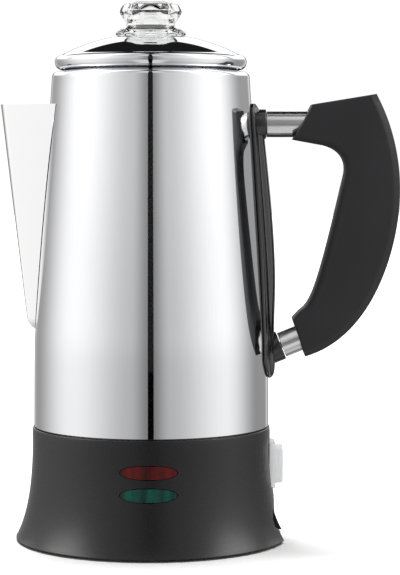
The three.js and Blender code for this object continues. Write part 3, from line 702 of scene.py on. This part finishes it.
def make_boot():
    inside = [boot_ring(7.5, 9.7, 1.2, x) for x in (73.1, 67.5)]
    skirt = [boot_ring(10.15, 12.85, 2.75, x) for x in (67.5, 66.3)]
    flange_steps = ((0, 66.3), (0, 69), (0.25, 69.5), (0.9, 69.7))
    flange = [boot_ring(10.4 - d, 13.1 - d, 3 - d, x) for d, x in flange_steps]
    dome = [boot_ring(8.8, 10.9, 4, 69.75), boot_ring(8.4, 10.5, 4, 70.2)]
    crown = [
        boot_ring(6.8 + x, 8.9 + x, 2.4 + x, 72.4 + z) for x, z in arc(0, 0, 1.6, 0, 90, 6)
    ]
    boot = skin("silicone_boot", [*inside, *skirt, *flange, *dome, *crown])
    piece(boot, SILICONE, "pot", ["switch_boot"], 40)


def make_rocker():
    tilt = math.radians(11)
    pivot_x = 66.4
    hollow = [(3.6 - 1.2 * 4 * t * (1 - t) / 2, -7.6 + 15.2 * t) for t in share(0, 1, 12)]
    outline = [*hollow, (1.4, 7.6), (-2.6, 2), *arc(-2.6, 0, 2, 90, 270, 10), (1.4, -7.6)]
    rings = []
    for y in (-5.2, 5.2):
        ring = []
        for x, v in outline:
            ring.append((
                pivot_x + x * math.cos(tilt) + v * math.sin(tilt),
                y,
                SWITCH_Z - x * math.sin(tilt) + v * math.cos(tilt),
            ))
        rings.append(ring)
    rocker = soften(skin("rocker_key", rings), 0.35)
    settle(rocker)
    piece(rocker, ROCKER, "rocker", ["switch_rocker"], 40)


def make_inlet_pins():
    outline = [(0, 0), (2, 0), (2, 24.2), *arc(0.8, 24.3, 1.2, 0, 90, 6), (0, 25.5)]
    for name in ("inlet_pin_left", "inlet_pin_right"):
        centre = middle(name)
        pin = turned(name.replace("inlet", "round"), outline, 32, (0, 0), along_x(42, centre.y, centre.z))
        piece(pin, PLAIN, "pot", [name], 40)


# ---------- handle ----------
BRACKET_STATIONS = [
    (90.8, 3, 1.6), (93, 11, 3), (97, 16.2, 3.7), (103, 19.6, 3.8), (119, 18.8, 3.9), (148, 16, 6.4),
    (179, 13.6, 7), (223, 11.2, 5.8), (237, 10.4, 4.8), (241.5, 8.6, 3.6), (244.2, 4.5, 2),
]
BRACKET_SECTION = [
    (-1, 0), (-0.985, 0.16), (-0.94, 0.24), (-0.74, 0.31), (-0.6, 0.3), (-0.53, 0.42),
    (-0.46, 0.8), (-0.36, 0.95),
    (-0.18, 1), (0, 1.01),
]


def bracket_ring(station):
    """A level slice of the bracket: flange, groove and raised rib in front, the pot's curve behind."""
    z, half_width, height = station
    section = spline(BRACKET_SECTION, 3)
    section = section + [(-across, up) for across, up in section[::-1][1:]]
    front, back = [], []
    for across, up in section:
        y = across * half_width
        wall = math.sqrt((pot_radius(z) + GAP) ** 2 - y * y)
        front.append((wall + 0.6 + up * (height - 0.6), y, z))
        back.append((wall, y, z))
    return [*front, *back[::-1]]


def make_bracket():
    bracket = skin("bracket_shield", [bracket_ring(s) for s in spline(BRACKET_STATIONS, 6)])
    collar_edge = arc(7.7, -0.6, 0.6, 0, 90, 4)
    collar = [(0, -12), (8.3, -12), *collar_edge, (0, 0)]
    upper = turned("upper_collar", collar, 64, (0, 0), along_x(64.3, 0, UPPER_ARM_Z))
    lower = turned("lower_collar", [(0, -10), (8.3, -10), *collar_edge, (0, 0)], 64, (0, 0), on_lower_arm)
    combine(bracket, [upper, lower], "UNION")
    combine(bracket, [pot_space()])
    piece(bracket, BRACKET_BLACK, "pot", ["handle_bracket"], 38)


def make_sleeves():
    inner = SLEEVE_R - 1.4
    for name, low, high, place in (
        ("upper_sleeve", 0, 27.1, along_x(64.6, 0, UPPER_ARM_Z)),
        ("lower_sleeve", GAP, 20, on_lower_arm),
    ):
        outline = [
            (inner, low), *arc(SLEEVE_R - 0.3, low + 0.3, 0.3, -90, 0, 3), (SLEEVE_R, low + 0.5),
            (SLEEVE_R, high - 0.5), *arc(SLEEVE_R - 0.3, high - 0.3, 0.3, 0, 90, 3), (inner, high),
        ]
        tube = turned(f"steel_{name}", outline, 96, (0, 0), place)
        piece(tube, SATIN, "pot", [name])


GRIP_OUTER = [
    (89.6, 243.7), (125.2, 249.5), *bezier((125.2, 249.5), (134.5, 233), (139.6, 211), (138.5, 190.5), 24),
    *bezier((138.5, 190.5), (137.7, 167.1), (126.4, 118.4), (90.3, 104.7), 36), (86.1, 103.4),
]
GRIP_INNER = [
    (79, 124.2), (83, 128.8), *bezier((83, 128.8), (89.8, 133.3), (93.3, 142.5), (107.4, 203.7), 32),
    *bezier((107.4, 203.7), (109.6, 212.3), (105.5, 218.7), (96.2, 221), 14), (79, 224.2),
]


def grip_edges():
    """The kind of every edge of the grip's outline: spine, inner side or one of the short ends."""
    count = len(GRIP_OUTER) + len(GRIP_INNER)
    kinds = []
    for i in range(count):
        if 1 <= i < len(GRIP_OUTER) - 1:
            kinds.append("spine")
        elif len(GRIP_OUTER) <= i < count - 1:
            kinds.append("inner")
        else:
            kinds.append("end")
    return kinds


def edge_rounding(kind, t):
    """How far an edge lies inside the outline, and behind the flat side, at share t of its rounding."""
    if kind == "spine":
        return 4.2 * (1 - t) ** 0.9, 3.4 * t**1.35
    radius = 6.5 if kind == "inner" else 0.9
    angle = t * math.pi / 2
    return radius * (1 - math.sin(angle)), radius * (1 - math.cos(angle))


def inset_outline(points, kinds, t):
    """The outline moved inwards edge by edge, each corner with its depth behind the flat side."""
    ring = []
    count = len(points)
    for i in range(count):
        rows = []
        for a, b, kind in ((i - 1, i, kinds[i - 1]), (i, (i + 1) % count, kinds[i])):
            along = Vector(points[b]) - Vector(points[a])
            normal = Vector((along.y, -along.x)).normalized()
            rows.append((normal, *edge_rounding(kind, t)))
        (n1, d1, depth1), (n2, d2, depth2) = rows
        cross = n1.x * n2.y - n1.y * n2.x
        if abs(cross) < 1e-3:
            move = (n1 + n2).normalized() * (d1 + d2) / 2
        else:
            move = Vector(((d1 * n2.y - d2 * n1.y) / cross, (d2 * n1.x - d1 * n2.x) / cross))
        ring.append((points[i][0] + move.x, points[i][1] + move.y, (depth1 + depth2) / 2))
    return ring


def make_grip():
    """The C-shaped grip: a crisp band along the spine and a well-rounded inner side."""
    outline = GRIP_OUTER + GRIP_INNER
    kinds = grip_edges()
    half = 12
    layers = [inset_outline(outline, kinds, t) for t in share(0, 1, 10)]
    front = [[(x, depth - half, z) for x, z, depth in ring] for ring in layers]
    back = [[(x, half - depth, z) for x, z, depth in ring] for ring in layers[::-1]]
    grip = skin("c_grip", front + back)
    upper = turned("upper_socket", [(0, 0), (SLEEVE_R + GAP, 0), (SLEEVE_R + GAP, 32), (0, 32)], 64, (0, 0),
                   along_x(60, 0, UPPER_ARM_Z))
    lower_outline = [(0, 0), (SLEEVE_R + GAP, 0), (SLEEVE_R + GAP, 20.3), (0, 20.3)]
    lower = turned("lower_socket", lower_outline, 64, (0, 0),
                   on_lower_arm)
    combine(grip, [upper, lower])
    piece(grip, GRIP_BLACK, "pot", ["handle_grip"], 22)


# ---------- brewing parts ----------
def make_stem():
    bore = STEM_R - 1
    stem = turned(
        "stem_tube",
        [
            (bore, STEM_BOTTOM_Z), (6, STEM_BOTTOM_Z), (6.5, 44.8), (6.5, 45.5), (STEM_R, 45.5),
            (STEM_R, COLLAR_TOP_Z - 3.2), (8.6, COLLAR_TOP_Z - 1.5), (9, COLLAR_TOP_Z - 1), (9, COLLAR_TOP_Z),
            (STEM_R, COLLAR_TOP_Z), (STEM_R, STEM_TOP_Z - 0.4), (STEM_R - 0.4, STEM_TOP_Z),
            (bore, STEM_TOP_Z),
        ],
        64,
    )
    piece(stem, ALUMINIUM, "pump", ["pump_stem"])
    bell = turned(
        "foot_bell",
        [
            (13, 56.4), (13.8, 56.4),
            *spline([(13.5, 58.6), (12, 61.8), (9, 65.6), (6.6, 68), (5.8, 69.4)], 4),
            (5.8, 75), (STEM_R + GAP, 75), (STEM_R + GAP, 68),
            *spline([(6, 66.6), (8.4, 64.6), (11.2, 61.4), (12.6, 58.6)], 4),
        ],
        96,
    )
    piece(bell, ALUMINIUM, "pump", ["pump_foot"])
    washer = turned(
        "flat_washer",
        [(STEM_R + GAP, 45.9), (8.4, 45.9), (8.6, 46.1), (8.6, 46.9), (8.4, 47.1), (STEM_R + GAP, 47.1)],
        64,
    )
    piece(washer, ALUMINIUM, "washer", ["valve_washer"])


def hole_rings(rings, low, high):
    """Upright holes on circles, each circle as (count, radius)."""
    holes = []
    for count, radius in rings:
        for i in range(count):
            angle = 2 * math.pi * i / count
            x, y = radius * math.cos(angle), radius * math.sin(angle)
            holes.append(((x, y, low), (x, y, high)))
    return holes


def make_basket():
    floor = COLLAR_TOP_Z + GAP
    rim = BASKET_RIM_Z
    shell = turned(
        "basket_cup",
        [
            (5, floor), (43.5, floor), *arc(BASKET_R - 1.5, floor + 1.5, 1.5, -60, 0, 4),
            (BASKET_R, rim - SHEET), (46, rim - SHEET), (46, rim), (BASKET_R - SHEET, rim),
            (BASKET_R - SHEET, floor + 1.5), (BASKET_R - 1.5, floor + SHEET), (5.8, floor + SHEET),
            (5.8, 240), (5, 240),
        ],
        128,
    )
    holes = hole_rings([(6, 10), (12, 16), (18, 22), (24, 28), (30, 34), (36, 40)], floor - 1, floor + 2)
    combine(shell, [rods("holes", holes, 0.9, 12)])
    piece(shell, ALUMINIUM, "coffee_basket", ["basket"])


def make_spreader():
    low = extent("spreader")[0].z
    top = extent("spreader")[1].z
    plate = turned(
        "spreader_plate",
        [
            (5, low), (44.8, low), (45.6, low + 0.8), (45.6, top),
            (45.6 - SHEET, top), (45.6 - SHEET, low + 1.2),
            (44.4, low + SHEET), (5.8, low + SHEET), (5.8, 250), (5, 250),
        ],
        128,
    )
    holes = hole_rings([(8, 12), (14, 19), (20, 26), (26, 33), (32, 40)], low - 1, low + 2)
    combine(plate, [rods("holes", holes, 1, 12)])
    piece(plate, ALUMINIUM, "water_spreader", ["spreader"])


# ---------- lid and knob ----------
def dome(start, end, offset, steps):
    return [
        (r, DOME_TOP_Z - DOME_R + math.sqrt((DOME_R - offset) ** 2 - r**2)) for r in share(start, end, steps)
    ]


def sector(inner, outer, width, low, high, angle):
    """A wedge of a ring, for a bayonet lug or its slot."""
    ring = arc(0, 0, outer, angle - width / 2, angle + width / 2, 12)
    ring += arc(0, 0, inner, angle + width / 2, angle - width / 2, 12)
    return skin("sector", [[(x, y, z) for x, y in ring] for z in (low, high)])


def make_lid():
    neck = MOUTH_R - 0.5
    outline = [
        (LID_HOLE_R, LID_SEAT_Z),
        (20.6, LID_SEAT_Z),
        *dome(21.4, 49.6, 0, 40),
        *arc(50, 267.4, 3.4, 76, 0, 16),
        *[(50 + 3.4 * math.cos(a), 267.4 + 4.3 * math.sin(a)) for a in share(-0.1, -1.3, 16)],
        (neck, SHOULDER_Z + GAP),
        (neck, 252),
        (46.8, 252),
        (46.8, 267),
        *dome(45.6, 21.4, SHEET, 24),
        (20.6, LID_SEAT_Z - SHEET),
        (LID_HOLE_R, LID_SEAT_Z - SHEET),
    ]
    lid = turned("lid_shell", outline, 256)
    combine(lid, [sector(12, 18, 42, 278, 284, angle) for angle in (60, 180, 300)])
    piece(lid, POLISHED, "pot_lid", ["lid"], 24)


KNOB_OUTSIDE = [
    (13.2, 275), (13.2, 281.5), (14.4, 281.5), (15.2, 283.2), (18.6, 282.1), (19.4, 282.3), (19.6, 283),
    (19.2, 283.8), (17.2, 285.4), (14.6, 286.6), (13.5, 287.4), (13.4, 288.6), (14.2, 289.6), (15.4, 291.4),
    (16.8, 293.8), (17.3, 295.2), (17.1, 296.2), (15.9, 298.6), (15.1, 299.4),
    (12.8, 300.4), (12.2, KNOB_TOP_Z),
    (6, KNOB_TOP_Z), (POLE_R, KNOB_TOP_Z),
]
KNOB_INSIDE = [(POLE_R, 296.4), (4, 296.2), (8, 295.2), (9.8, 293.2), (10.4, 290), (10.4, 275)]


def knob_flat(radius, z, angle):
    """Radius of the knob's head, whose six sides are pressed flat above the neck."""
    side = math.pi / 3
    off_flat = angle % side - side / 2
    full = min(math.cos(side / 2 - 0.12) / math.cos(off_flat), 1)
    depth = min(max((z - 288.5) / 2.5, 0), 1)
    return radius * (1 + (full - 1) * depth)


def make_knob():
    rings = []
    steps = 144
    for r, z in KNOB_INSIDE:
        rings.append([(r * math.cos(a), r * math.sin(a), z) for a in share(0, 2 * math.pi, steps)[:-1]])
    for r, z in KNOB_OUTSIDE:
        ring = []
        for a in share(0, 2 * math.pi, steps)[:-1]:
            flat = knob_flat(r, z, a)
            ring.append((flat * math.cos(a), flat * math.sin(a), z))
        rings.append(ring)
    knob = skin("glass_knob", rings)
    lug_top = LID_SEAT_Z - SHEET - GAP
    combine(knob, [sector(11, 17.2, 34, 276.6, lug_top, angle) for angle in (0, 120, 240)], "UNION")
    piece(knob, CLEAR, "knob", ["lid_knob"], 24)


# ---------- CAD nodes that stay as they are ----------
CARRIED = {
    "heating_well": PLAIN, "heating_element": PLAIN, "clamp_strap": PLAIN, "bracket_clip": PLAIN,
    "upper_handle_screw": PLAIN, "lower_handle_screw": PLAIN,
    "heat_plate": ALUMINIUM, "brew_thermostat": ALUMINIUM,
    "well_nut": BRASS, "thermal_fuse": BRASS, "strap_nut": BRASS,
    "upper_grip_insert": BRASS, "lower_grip_insert": BRASS,
    "lamp_holder": PHENOLIC, "switch_housing": PHENOLIC, "inlet_block": PHENOLIC,
    "red_lamp": LAMP_GLASS, "green_lamp": LAMP_GLASS,
    "lead_inlet_to_switch": LEAD, "lead_inlet_to_fuse": LEAD, "lead_switch_to_thermostat": LEAD,
}


def dress_carried_nodes():
    for name, material in CARRIED.items():
        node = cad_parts[name]
        node.data.materials.clear()
        node.data.materials.append(material)
        smooth(node, 40)
    soften(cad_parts["inlet_block"], 0.4)
    soften(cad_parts["switch_housing"], 0.4)


# ---------- studio ----------
CAMERA_AT = (0.0, -1.180, 0.218)
CAMERA_TILT = 90 - 3.712
FRONT_EDGE = (0, 20)
SIDE_EDGE = (14, 80)
FRONT_LEVEL = 0.61
SIDE_GAIN = 2.0
BACK_EDGE = (163.5, 168)
BACK_GAIN = 0.04
LEFT_PANEL = {"gap": 0.27, "fall": (84, 146), "rear": 0.34, "kicker": 1.5}
RIGHT_PANEL = {"gap": 0.22, "fall": (78, 128), "rear": 0.31, "kicker": 2.2}
KICKER_EDGE = (150, 163)
HIGH_SIDE_GAIN = 3.5
HEIGHT_FADES = ((-8, 3, 0.86, 1), (3, 8, 1, 1.09), (-60, -15, 0.6, 1), (20, 85, 1, 0.6))
STUDIO_TINT = (1.0, 0.99, 0.985)
CAMERA_LENS = 131.9
SUN_STRENGTH = 7.7
SUN_WIDTH = 36
SUN_TILT = -12


def make_camera():
    data = bpy.data.cameras.new("camera")
    data.lens = CAMERA_LENS
    data.sensor_width = 36
    camera = bpy.data.objects.new("camera", data)
    camera.location = CAMERA_AT
    camera.rotation_euler = (math.radians(CAMERA_TILT), 0, 0)
    scene.collection.objects.link(camera)
    scene.camera = camera


def make_floor():
    size = 6
    mesh = bpy.data.meshes.new("floor")
    corners = [(-size, -size, 0), (size, -size, 0), (size, size, 0), (-size, size, 0)]
    mesh.from_pydata(corners, [], [(0, 1, 2, 3)])
    floor = bpy.data.objects.new("floor", mesh)
    scene.collection.objects.link(floor)
    material, tree, shader = base_material("floor_paper", Roughness=1.0, Specular_IOR_Level=0.0)
    paper = noise(tree, 0.2, 3)
    tree.links.new(tone(tree, paper, (0.60, 0.60, 0.60), (0.605, 0.605, 0.605)), shader.inputs["Base Color"])
    mesh.materials.append(material)
    floor.visible_glossy = False
    floor.visible_transmission = False


def make_flag():
    """A narrow dark card behind the camera that only mirrors see."""
    left, right = -0.073, 0.053
    outline = [(left, -3), (right, -3), (right, 3), (left, 3)]
    mesh = bpy.data.meshes.new("flag")
    mesh.from_pydata([(x, CAMERA_AT[1] - 0.12, z) for x, z in outline], [], [tuple(range(len(outline)))])
    flag = bpy.data.objects.new("flag", mesh)
    scene.collection.objects.link(flag)
    material, tree, shader = base_material("flag_cloth", Roughness=1.0, Specular_IOR_Level=0.0)
    cloth = noise(tree, 0.1, 2)
    tree.links.new(tone(tree, cloth, (0.01, 0.01, 0.01), (0.014, 0.014, 0.014)), shader.inputs["Base Color"])
    mesh.materials.append(material)
    flag.visible_camera = False
    flag.visible_diffuse = False
    flag.visible_transmission = False
    flag.visible_shadow = False


def make_top_light():
    """A broad soft light from above that lights the scene but shows in no mirror."""
    data = bpy.data.lights.new("top_light", "SUN")
    data.energy = SUN_STRENGTH
    data.angle = math.radians(SUN_WIDTH)
    lamp = bpy.data.objects.new("top_light", data)
    lamp.rotation_euler = (math.radians(SUN_TILT), 0, 0)
    lamp.visible_glossy = False
    lamp.visible_transmission = False
    scene.collection.objects.link(lamp)


def panel_light(tree, azimuth, panel):
    """Brightness of one side of the studio: a dim gap by the camera, a broad side panel, a kicker behind."""
    front = fade(tree, azimuth, *FRONT_EDGE, panel["gap"], FRONT_LEVEL)
    side = fade(tree, azimuth, *SIDE_EDGE, 1, SIDE_GAIN)
    rear = fade(tree, azimuth, *panel["fall"], 1, panel["rear"])
    kicker = fade(tree, azimuth, *KICKER_EDGE, 1, panel["kicker"])
    end = fade(tree, azimuth, *BACK_EDGE, 1, BACK_GAIN)
    level = front
    for edge in (side, rear, kicker, end):
        level = calculate(tree, "MULTIPLY", level, edge)
    return level


def make_world():
    """A shaped studio: panels around, a dark ceiling behind, and a level for each kind of ray."""
    world = bpy.data.worlds.new("studio")
    scene.world = world
    world.use_nodes = True
    world.cycles.sampling_method = "NONE"
    tree = world.node_tree
    background = tree.nodes["Background"]
    direction = tree.nodes.new("ShaderNodeTexCoord").outputs["Generated"]
    parts = tree.nodes.new("ShaderNodeSeparateXYZ")
    tree.links.new(direction, parts.inputs[0])
    x, y, z = parts.outputs
    degrees = 180 / math.pi
    around = calculate(tree, "ARCTAN2", x, calculate(tree, "MULTIPLY", y, -1.0))
    azimuth = calculate(tree, "MULTIPLY", calculate(tree, "ABSOLUTE", around), degrees)
    elevation = calculate(tree, "MULTIPLY", calculate(tree, "ARCSINE", z), degrees)
    right = calculate(tree, "GREATER_THAN", x, 0.0)
    left_light = panel_light(tree, azimuth, LEFT_PANEL)
    right_light = panel_light(tree, azimuth, RIGHT_PANEL)
    light = blend(tree, right, left_light, right_light)

    behind = fade(tree, azimuth, 117, 123)
    raised = fade(tree, elevation, 8.5, 10)
    light = blend(tree, calculate(tree, "MULTIPLY", behind, raised), light, 1.25)
    for start, end, low, high in HEIGHT_FADES:
        light = calculate(tree, "MULTIPLY", light, fade(tree, elevation, start, end, low, high))
    high_side = calculate(tree, "MULTIPLY", fade(tree, azimuth, 55, 76), fade(tree, azimuth, 92, 118, 1, 0))
    high_side = calculate(tree, "MULTIPLY", high_side, fade(tree, elevation, 9, 26))
    high_side = calculate(tree, "MULTIPLY", high_side, fade(tree, elevation, 30, 60, 1, 0.3))
    far_off = calculate(tree, "MAXIMUM", fade(tree, elevation, 30, 45), fade(tree, elevation, -25, -12, 1, 0))
    light = blend(tree, calculate(tree, "MULTIPLY", far_off, fade(tree, azimuth, 12, 30, 1, 0)), light, 0.75)
    bright = calculate(tree, "MULTIPLY_ADD", high_side, HIGH_SIDE_GAIN, 1.0)
    light = calculate(tree, "MULTIPLY", light, bright)
    from_back = calculate(tree, "SUBTRACT", 180.0, azimuth)
    ceiling = calculate(tree, "MULTIPLY_ADD", from_back, -0.3, fade(tree, from_back, 25, 60, 32.5, 120))
    above = fade(tree, calculate(tree, "SUBTRACT", elevation, ceiling), 0, 1.5)
    studio = blend(tree, above, light, 0.012)

    front = calculate(tree, "MULTIPLY", y, -1.0)
    soft = fade(tree, front, -0.3, 0.9, 0.12, 1.0)
    paths = tree.nodes.new("ShaderNodeLightPath").outputs
    seen = blend(tree, paths["Is Glossy Ray"], soft, studio)
    through = fade(tree, elevation, 40, 65, 1.0, 0.75)
    inside_glass = calculate(tree, "GREATER_THAN", paths["Transmission Depth"], 0.5)
    seen = blend(tree, inside_glass, seen, through)
    seen = blend(tree, paths["Is Camera Ray"], seen, 1.05)
    tint = tree.nodes.new("ShaderNodeMix")
    tint.data_type = "RGBA"
    tree.links.new(paths["Is Camera Ray"], tint.inputs["Factor"])
    tint.inputs["A"].default_value = (*STUDIO_TINT, 1)
    tint.inputs["B"].default_value = (1, 1, 1, 1)
    tree.links.new(tint.outputs["Result"], background.inputs["Color"])
    tree.links.new(seen, background.inputs["Strength"])


# ---------- everything together ----------
make_camera()
make_world()
make_floor()
make_flag()
make_top_light()
make_pot()
make_spout()
make_housing()
make_lens("red_lens_ribbed", RED_Z, RED)
make_lens("green_lens_ribbed", GREEN_Z, GREEN)
make_cover()
make_feet()
make_cover_screws()
make_boot()
make_rocker()
make_inlet_pins()
make_bracket()
make_sleeves()
make_grip()
make_stem()
make_basket()
make_spreader()
make_lid()
make_knob()
dress_carried_nodes()
scene.view_settings.view_transform = "Standard"
